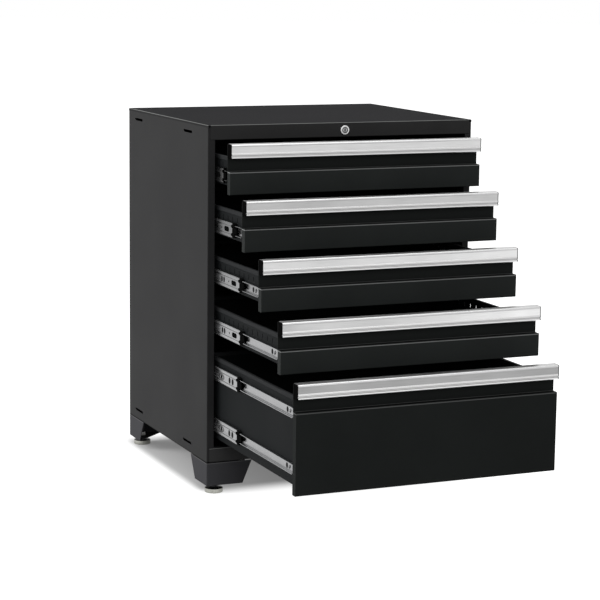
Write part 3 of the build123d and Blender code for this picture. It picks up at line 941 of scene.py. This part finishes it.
@dataclass(frozen=True)
class BentTab:
    """A lanced tab: a strip that leaves the wall at both ends and bows out between them."""

    width: float
    length: float
    reach: float
    thickness: float = 1.0 * MM
    spans: int = 8

    def build(self, name: str) -> bpy.types.Object:
        """Bend the tab up along Z, with the wall at X = 0 and its bow towards +X.

        Args:
            name: The tab's name.

        Returns:
            The tab, centred on the origin.
        """
        x, y = self.thickness / 2, self.width / 2
        corners = ((-x, -y), (x, -y), (x, y), (-x, y))
        rings = []
        for step in range(self.spans + 1):
            share = step / self.spans
            out = self.reach * math.sin(math.pi * share)
            z = self.length * (share - 0.5)
            rings.append([(out + x, y, z) for x, y in corners])
        return skinned(name, rings)


@dataclass(frozen=True)
class RowPlan:
    """What a row tree lays: a small part, its finish, and how its copies are spaced and turned."""

    part: bpy.types.Object
    finish: Material
    count: int = 1
    step: Point = ORIGIN
    turn: Point = ORIGIN
    turn_right_side: float = 0.0


class RowTree:
    """Geometry Nodes that lay copies of a small part along equal rows, one from each start."""

    inputs: dict[str, str] = {
        "Geometry": "NodeSocketGeometry",
        "Part": "NodeSocketObject",
        "Count": "NodeSocketInt",
        "Step": "NodeSocketVector",
        "Turn": "NodeSocketVector",
        "Turn Right Side": "NodeSocketFloat",
        "Finish": "NodeSocketMaterial",
    }

    def __init__(self) -> None:
        """Build the tree and its named inputs."""
        self.tree = bpy.data.node_groups.new("rows_of_small_parts", "GeometryNodeTree")
        graph = Graph(self.tree)
        add = graph.add
        face = self.tree.interface
        for name, kind in self.inputs.items():
            face.new_socket(name, in_out="INPUT", socket_type=kind)
        face.new_socket("Geometry", in_out="OUTPUT", socket_type="NodeSocketGeometry")
        given = add("NodeGroupInput").outputs
        line = add(
            "GeometryNodeMeshLine",
            {"Count": given["Count"], "Offset": given["Step"]},
            mode="OFFSET",
        )
        rows = add(
            "GeometryNodeInstanceOnPoints",
            {"Points": given["Geometry"], "Instance": line.outputs["Mesh"]},
        )
        places = add("GeometryNodeRealizeInstances", {"Geometry": rows.outputs["Instances"]})
        across = graph.split(add("GeometryNodeInputPosition").outputs[0])
        right = graph.maths("GREATER_THAN", across["X"])
        spin = graph.maths("MULTIPLY", right, given["Turn Right Side"])
        extra = add("ShaderNodeCombineXYZ", {"Z": spin})
        turn = graph.vectors("ADD", given["Turn"], extra.outputs[0])
        rotation = add("FunctionNodeEulerToRotation", {0: turn})
        part = add("GeometryNodeObjectInfo", {"Object": given["Part"], "As Instance": True})
        copies = add(
            "GeometryNodeInstanceOnPoints",
            {
                "Points": places.outputs["Geometry"],
                "Instance": part.outputs["Geometry"],
                "Rotation": rotation.outputs[0],
            },
        )
        real = add("GeometryNodeRealizeInstances", {"Geometry": copies.outputs["Instances"]})
        coated = add(
            "GeometryNodeSetMaterial",
            {"Geometry": real.outputs["Geometry"], "Material": given["Finish"]},
        )
        add("NodeGroupOutput", {"Geometry": coated.outputs["Geometry"]})

    def lay(self, name: str, starts: list[Point], plan: RowPlan) -> bpy.types.Object:
        """Lay one piece's rows and turn them into a plain mesh.

        Args:
            name: The piece's name.
            starts: Where each row starts, in metres.
            plan: What is laid; its part is deleted afterwards.

        Returns:
            The piece, at the origin and without its modifier.
        """
        mesh = bpy.data.meshes.new(f"{name}_starts")
        mesh.from_pydata(starts, [], [])
        piece = linked(name, mesh)
        modifier = piece.modifiers.new("rows", "NODES")
        modifier.node_group = self.tree
        for item in self.tree.interface.items_tree:
            if item.in_out == "INPUT" and item.name != "Geometry":
                field_name = item.name.lower().replace(" ", "_")
                modifier[item.identifier] = getattr(plan, field_name)
        depsgraph = bpy.context.evaluated_depsgraph_get()
        plain = bpy.data.meshes.new_from_object(piece.evaluated_get(depsgraph))
        piece.modifiers.clear()
        piece.data = plain
        plain.name = name
        bpy.data.objects.remove(plan.part)
        return piece


@dataclass
class Shell:
    """Cabinet body: side skins, roof, floor, back, rails, posts and fixed slide members."""

    finishes: Finishes
    rows: RowTree
    rivet_radius: float = 3.2 * MM
    rivet_height: float = 1.0 * MM
    rivet_inset: float = 9.0 * MM
    rivet_end: float = 27.0 * MM
    rivet_count: int = 9
    rivet_rings: int = 3
    rivet_segments: int = 12
    rear_flange: float = 15.0 * MM
    panels: tuple[str, ...] = (
        "left_side_panel", "right_side_panel", "bottom_panel", "back_panel", "slide_uprights"
    )
    roof_panels: tuple[str, ...] = ("top_panel", "header_rail")

    def build(self) -> None:
        """Paint the sheets, plate the fixed slide members and set the back panel's rivets."""
        dress(self.finishes.shell, *self.panels)
        dress(self.finishes.roof, *self.roof_panels)
        dress(self.finishes.rail, "bottom_rail")
        dress(self.finishes.slide, "cabinet_slide_members")
        self.back_rivets()
        log.info("shell: %d painted sheets", len(self.panels) + len(self.roof_panels) + 1)

    def back_rivets(self) -> None:
        """Two upright rows of low rivets just inside the rear flanges."""
        low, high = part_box("back_panel")
        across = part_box("left_side_panel")[0].x + self.rear_flange + self.rivet_inset
        start_z = low.z + self.rivet_end
        step = (high.z - self.rivet_end - start_z) / (self.rivet_count - 1)
        profile = dome_profile(self.rivet_radius, self.rivet_height, self.rivet_rings)
        plan = RowPlan(
            turned("rivet_head", profile, self.rivet_segments),
            self.finishes.shell,
            self.rivet_count,
            step=(0.0, 0.0, step),
            turn=(-math.pi / 2, 0.0, 0.0),
        )
        starts = [(side.value * -across, high.y, start_z) for side in Side]
        piece = self.rows.lay("back_panel_rivets", starts, plan)
        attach(piece, "cabinet")


@dataclass
class Legs:
    """Corner legs with their bolts, nuts and screw feet."""

    finishes: Finishes
    corners: tuple[str, ...] = ("front_left", "front_right", "rear_left", "rear_right")
    foot_rim: float = 10.4 * MM
    seam: float = 1.6 * MM
    # A thin black strip in each seam above a leg, standing in for its shade.
    packing_width: float = 1.7 * MM
    packing_inset: float = 0.15 * MM
    packing_play: float = 0.05 * MM
    packing_short: float = 18.0 * MM

    def build(self) -> None:
        """Paint the legs, plate the feet and fasteners, and lay dark strips in the seams above the
        legs as painted shade.
        """
        for corner in self.corners:
            dress(self.finishes.leg, f"{corner}_leg")
            dress(self.finishes.foot, f"{corner}_foot")
            self.packing(corner)
        dress(self.finishes.hardware, "leg_bolts", "leg_nuts")
        log.info("legs: %d with feet", len(self.corners))

    def packing(self, corner: str) -> None:
        """Lay a thin black strip round the outside of one leg's seam, as painted shade in the seam.

        Args:
            corner: The leg's corner, such as front_left.
        """
        low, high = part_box(f"{corner}_leg")
        out_x, in_x = (low.x, high.x) if "left" in corner else (high.x, low.x)
        out_y, in_y = (low.y, high.y) if "front" in corner else (high.y, low.y)
        turn_x, turn_y = math.copysign(1.0, in_x - out_x), math.copysign(1.0, in_y - out_y)
        outer = (out_x + turn_x * self.packing_inset, out_y + turn_y * self.packing_inset)
        inner = (outer[0] + turn_x * self.packing_width, outer[1] + turn_y * self.packing_width)
        ends = (in_x - turn_x * self.packing_short, in_y - turn_y * self.packing_short)
        outline = (
            outer,
            (ends[0], outer[1]),
            (ends[0], inner[1]),
            inner,
            (inner[0], ends[1]),
            (outer[0], ends[1]),
        )
        levels = (high.z - self.seam + self.packing_play, high.z - self.packing_play)
        piece = skinned(f"{corner}_leg_packing", [[(x, y, z) for x, y in outline] for z in levels])
        piece.data.materials.append(self.finishes.plastic)
        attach(piece, "cabinet")


@dataclass
class Lock:
    """Header lock and the bar that it lifts."""

    finishes: Finishes

    def build(self) -> None:
        """Plate the lock and its works."""
        dress(self.finishes.lock, "lock_housing", "lock_plug")
        dress(self.finishes.hardware, "lock_nut", "lock_cam", "lock_bar")
        dress(self.finishes.plastic, "lock_bar_guides")
        log.info("lock: plated")


@dataclass
class DrawerUnit:
    """One drawer with its front, pull and slides."""

    number: int
    finishes: Finishes
    rows: RowTree
    ball_radius: float = 2.0 * MM
    ball_rings: int = 5
    ball_segments: int = 8
    ball_pitch: float = 8.0 * MM
    ball_margin: float = 6.0 * MM
    ball_inset: float = 2.4 * MM
    guide_tongue: float = 14.0 * MM
    divider_tab: BentTab = BentTab(2.0 * MM, 13.0 * MM, 3.0 * MM)
    tab_pitch: float = 30.0 * MM
    tab_front: float = 44.0 * MM
    tab_drop: float = 22.5 * MM
    tab_count: int = 16
    ledge_drop: float = 66.0 * MM
    bead: float = 1.5 * MM
    middle_sheet: float = 1.2 * MM
    middle_height: float = 36.0 * MM
    rail_height: float = 24.0 * MM
    rail_web: float = 6.2 * MM
    rail_tab_place: float = 25.0 * MM
    rail_tab: BentTab = BentTab(4.0 * MM, 10.0 * MM, 2.2 * MM)
    name: str = field(init=False)

    def __post_init__(self) -> None:
        """Work out the name that the drawer's nodes share."""
        self.name = f"drawer_{self.number}"

    @property
    def slide_heights(self) -> tuple[float, ...]:
        """Height of each slide's middle, from the middle members' box.

        Returns:
            One height for a shallow drawer and two for the deep one.
        """
        low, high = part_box(f"{self.name}_middle_slides")
        if high.z - low.z < 2 * self.middle_height:
            return ((low.z + high.z) / 2,)
        return (high.z - self.middle_height / 2, low.z + self.middle_height / 2)

    def build(self) -> None:
        """Dress the drawer's nodes and lay its balls and tabs."""
        finish = self.finishes
        heights = self.slide_heights
        deep = len(heights) > 1
        middle_front, rail_front = (
            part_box(f"{self.name}_{part}")[0].y for part in ("middle_slides", "slide_rails")
        )
        box_top, pull_top, face_top = (
            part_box(f"{self.name}_{part}")[1].z for part in ("box", "pull", "face")
        )
        look = finish.deep_front if deep else finish.shallow_front
        rail_plate = finish.slides(self.number, heights, rail_front, rail=True)
        for part, material in (
            ("box", finish.box(self.name, box_top)),
            ("face", finish.front(self.name, pull_top - self.ledge_drop, face_top, look)),
            ("pull", finish.pull(self.number, pull_top)),
            ("pull_caps", finish.cap),
            ("slide_rails", rail_plate),
            ("middle_slides", finish.slides(self.number, heights, middle_front, rail=False)),
            ("ball_guides", finish.plastic),
        ):
            dress(material, f"{self.name}_{part}")
        self.balls()
        self.rail_tabs(rail_plate)
        if not deep:
            self.divider_tabs()
        log.info("%s: dressed, %d slides a side", self.name, len(heights))

    def balls(self) -> None:
        """Steel balls along both flanges of each ball guide."""
        low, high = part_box(f"{self.name}_ball_guides")
        flange_middle = (self.rail_height / 2 + self.middle_height / 2 - self.middle_sheet) / 2
        across = high.x - self.ball_inset
        first = low.y + self.guide_tongue + self.ball_margin
        count = int((high.y - self.ball_margin - first) / self.ball_pitch) + 1
        starts = [
            (side.value * across, first, z + level * flange_middle)
            for z in self.slide_heights
            for side in Side
            for level in (-1, 1)
        ]
        profile = ball_profile(self.ball_radius, self.ball_rings)
        ball = turned("slide_ball", profile, self.ball_segments)
        plan = RowPlan(ball, self.finishes.ball, count, step=(0.0, self.ball_pitch, 0.0))
        piece = self.rows.lay(f"{self.name}_slide_balls", starts, plan)
        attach(piece, f"ball_guide_{self.number}")

    def rail_tabs(self, plate: Material) -> None:
        """A tab bent out of each rail's web, in front of its catch slot.

        Args:
            plate: The rails' finish.
        """
        low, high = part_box(f"{self.name}_slide_rails")
        web = high.x - self.rail_web
        first = low.y + self.rail_tab_place
        starts = [(side.value * web, first, z) for z in self.slide_heights for side in Side]
        tab = self.rail_tab.build("rail_tab")
        plan = RowPlan(tab, plate, turn=(0.0, 0.0, math.pi), turn_right_side=math.pi)
        piece = self.rows.lay(f"{self.name}_rail_tabs", starts, plan)
        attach(piece, self.name)

    def divider_tabs(self) -> None:
        """Bowed tabs inside the side walls, one at each divider slot."""
        low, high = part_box(f"{self.name}_box")
        inner = high.x - self.bead - self.divider_tab.thickness
        first, level = low.y + self.tab_front, high.z - self.tab_drop
        starts = [(side.value * inner, first, level) for side in Side]
        plan = RowPlan(
            self.divider_tab.build("divider_tab"),
            self.finishes.tab,
            self.tab_count,
            step=(0.0, self.tab_pitch, 0.0),
            turn_right_side=math.pi,
        )
        piece = self.rows.lay(f"{self.name}_divider_tabs", starts, plan)
        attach(piece, self.name)


@dataclass(frozen=True)
class Softbox:
    """One square area lamp, aimed at a point."""

    name: str
    place: Point
    target: Point
    width: float
    power: float

    def build(self) -> None:
        """Hang the lamp."""
        lamp = bpy.data.lights.new(self.name, "AREA")
        lamp.size = self.width
        lamp.energy = self.power
        holder = linked(self.name, lamp)
        holder.location = self.place
        aim = Vector(self.target) - Vector(self.place)
        holder.rotation_euler = aim.to_track_quat("-Z", "Y").to_euler()


@dataclass
class Studio:
    """Pale floor, soft lamps and a white surround."""

    floor_reach: float = 40.0
    floor_segments: int = 64
    floor_color: Color = grey(0.5)
    floor_roughness: float = 0.9
    floor_glow: float = 0.17
    glow_middle: Point = (0.0, 0.28, 0.0)
    glow_core: Point = (0.338, 0.25, 0.0)
    glow_fade: Point = (0.05, 0.11, 1.0)
    surround_light: float = 0.4
    lamps: tuple[Softbox, ...] = (
        Softbox("left_softbox", (-3.4, 1.6, 1.8), (0.0, 0.2, 0.5), width=2.4, power=110.0),
        Softbox("top_softbox", (0.2, -0.6, 4.0), (0.0, 0.0, 0.5), width=3.0, power=55.0),
        Softbox("front_softbox", (-1.4, -4.4, 2.4), (0.0, 0.0, 0.5), width=2.4, power=70.0),
    )

    def build(self) -> None:
        """Make the floor, the surround and the lamps."""
        self.floor()
        self.surround()
        for lamp in self.lamps:
            lamp.build()
        log.info("studio: %d lamps", len(self.lamps))

    def floor(self) -> None:
        """Lay a wide round floor that glows white where seen directly, less in a box round the
        cabinet's footprint, so that only the shadow there shows.
        """
        work = bmesh.new()
        bmesh.ops.create_circle(
            work, cap_ends=True, radius=self.floor_reach, segments=self.floor_segments
        )
        floor = new_piece("studio_floor", work)
        material = bpy.data.materials.new("studio_floor_paint")
        material.use_nodes = True
        graph = Graph(material.node_tree)
        place = graph.add("ShaderNodeTexCoord").outputs["Object"]
        # The glow is lowest in a box round the cabinet's footprint and full white beyond it, so the
        # glow paints out the shadow outside the box.
        away = graph.vectors("ABSOLUTE", graph.vectors("SUBTRACT", place, self.glow_middle))
        beyond = graph.vectors("MAXIMUM", graph.vectors("SUBTRACT", away, self.glow_core), ORIGIN)
        distance = graph.vectors("LENGTH", graph.vectors("DIVIDE", beyond, self.glow_fade))
        white = graph.add(
            "ShaderNodeMapRange",
            {0: distance, 1: 0.0, 2: 1.0, 3: self.floor_glow, 4: 1.0},
            interpolation_type="SMOOTHSTEP",
        )
        shader = graph.add(
            "ShaderNodeBsdfPrincipled",
            {
                "Base Color": (*self.floor_color, 1.0),
                "Roughness": self.floor_roughness,
                "Specular IOR Level": 0.0,
                "Emission Color": (1.0, 1.0, 1.0, 1.0),
                "Emission Strength": graph.maths(
                    "MULTIPLY", graph.seen_directly(), white.outputs[0]
                ),
            },
        )
        graph.add("ShaderNodeOutputMaterial", {"Surface": shader.outputs["BSDF"]})
        floor.data.materials.append(material)

    def surround(self) -> None:
        """Set a world that shows white but lights softly."""
        world = bpy.data.worlds.new("studio_surround")
        world.use_nodes = True
        bpy.context.scene.world = world
        graph = Graph(world.node_tree)
        strength = graph.add(
            "ShaderNodeMix",
            {0: graph.seen_directly(), 2: self.surround_light, 3: 1.0},
            data_type="FLOAT",
        )
        background = graph.add(
            "ShaderNodeBackground", {"Color": (1.0, 1.0, 1.0, 1.0), "Strength": strength.outputs[0]}
        )
        graph.add("ShaderNodeOutputWorld", {"Surface": background.outputs[0]})


@dataclass(frozen=True)
class PhotoCamera:
    """The photograph's camera, solved from the cabinet's corners."""

    place: Point = (-2.065, -4.529, 1.295)
    yaw: float = math.radians(23.537)
    pitch: float = math.radians(9.542)
    roll: float = math.radians(0.691)
    focal_pixels: float = 2007.6
    image_pixels: float = 600.0
    sensor: float = 36.0
    farthest: float = 200.0

    def build(self) -> None:
        """Set the camera up and make it the scene's."""
        lens = bpy.data.cameras.new("photo_camera")
        lens.sensor_width = self.sensor
        lens.lens = self.focal_pixels * self.sensor / self.image_pixels
        lens.clip_end = self.farthest
        east, north = math.sin(self.yaw), math.cos(self.yaw)
        flat, rise = math.cos(self.pitch), -math.sin(self.pitch)
        ahead = Vector((east * flat, north * flat, rise))
        level = Vector((north, -east, 0.0))
        down = ahead.cross(level)
        right = math.cos(self.roll) * level - math.sin(self.roll) * down
        up = -(math.sin(self.roll) * level + math.cos(self.roll) * down)
        turn = Matrix((right, up, -ahead)).transposed()
        camera = linked("photo_camera", lens)
        camera.matrix_world = Matrix.Translation(self.place) @ turn.to_4x4()
        bpy.context.scene.camera = camera
        log.info("camera: %.1f mm lens", lens.lens)


def main() -> None:
    """Build the studio, then the cabinet's sub-assemblies in order."""
    logging.basicConfig(level=logging.INFO)
    bpy.context.scene.view_settings.view_transform = "Standard"
    PhotoCamera().build()
    Studio().build()
    low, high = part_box("lock_housing")
    lock_axis = ((low.x + high.x) / 2, 0.0, (low.z + high.z) / 2)
    body_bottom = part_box("bottom_panel")[0].z
    finishes = Finishes(lock_axis, Legs.foot_rim, body_bottom - Legs.seam, body_bottom)
    rows = RowTree()
    Shell(finishes, rows).build()
    Legs(finishes).build()
    Lock(finishes).build()
    for number in range(1, DRAWER_COUNT + 1):
        DrawerUnit(number, finishes, rows).build()


if __name__ == "__main__":
    main()
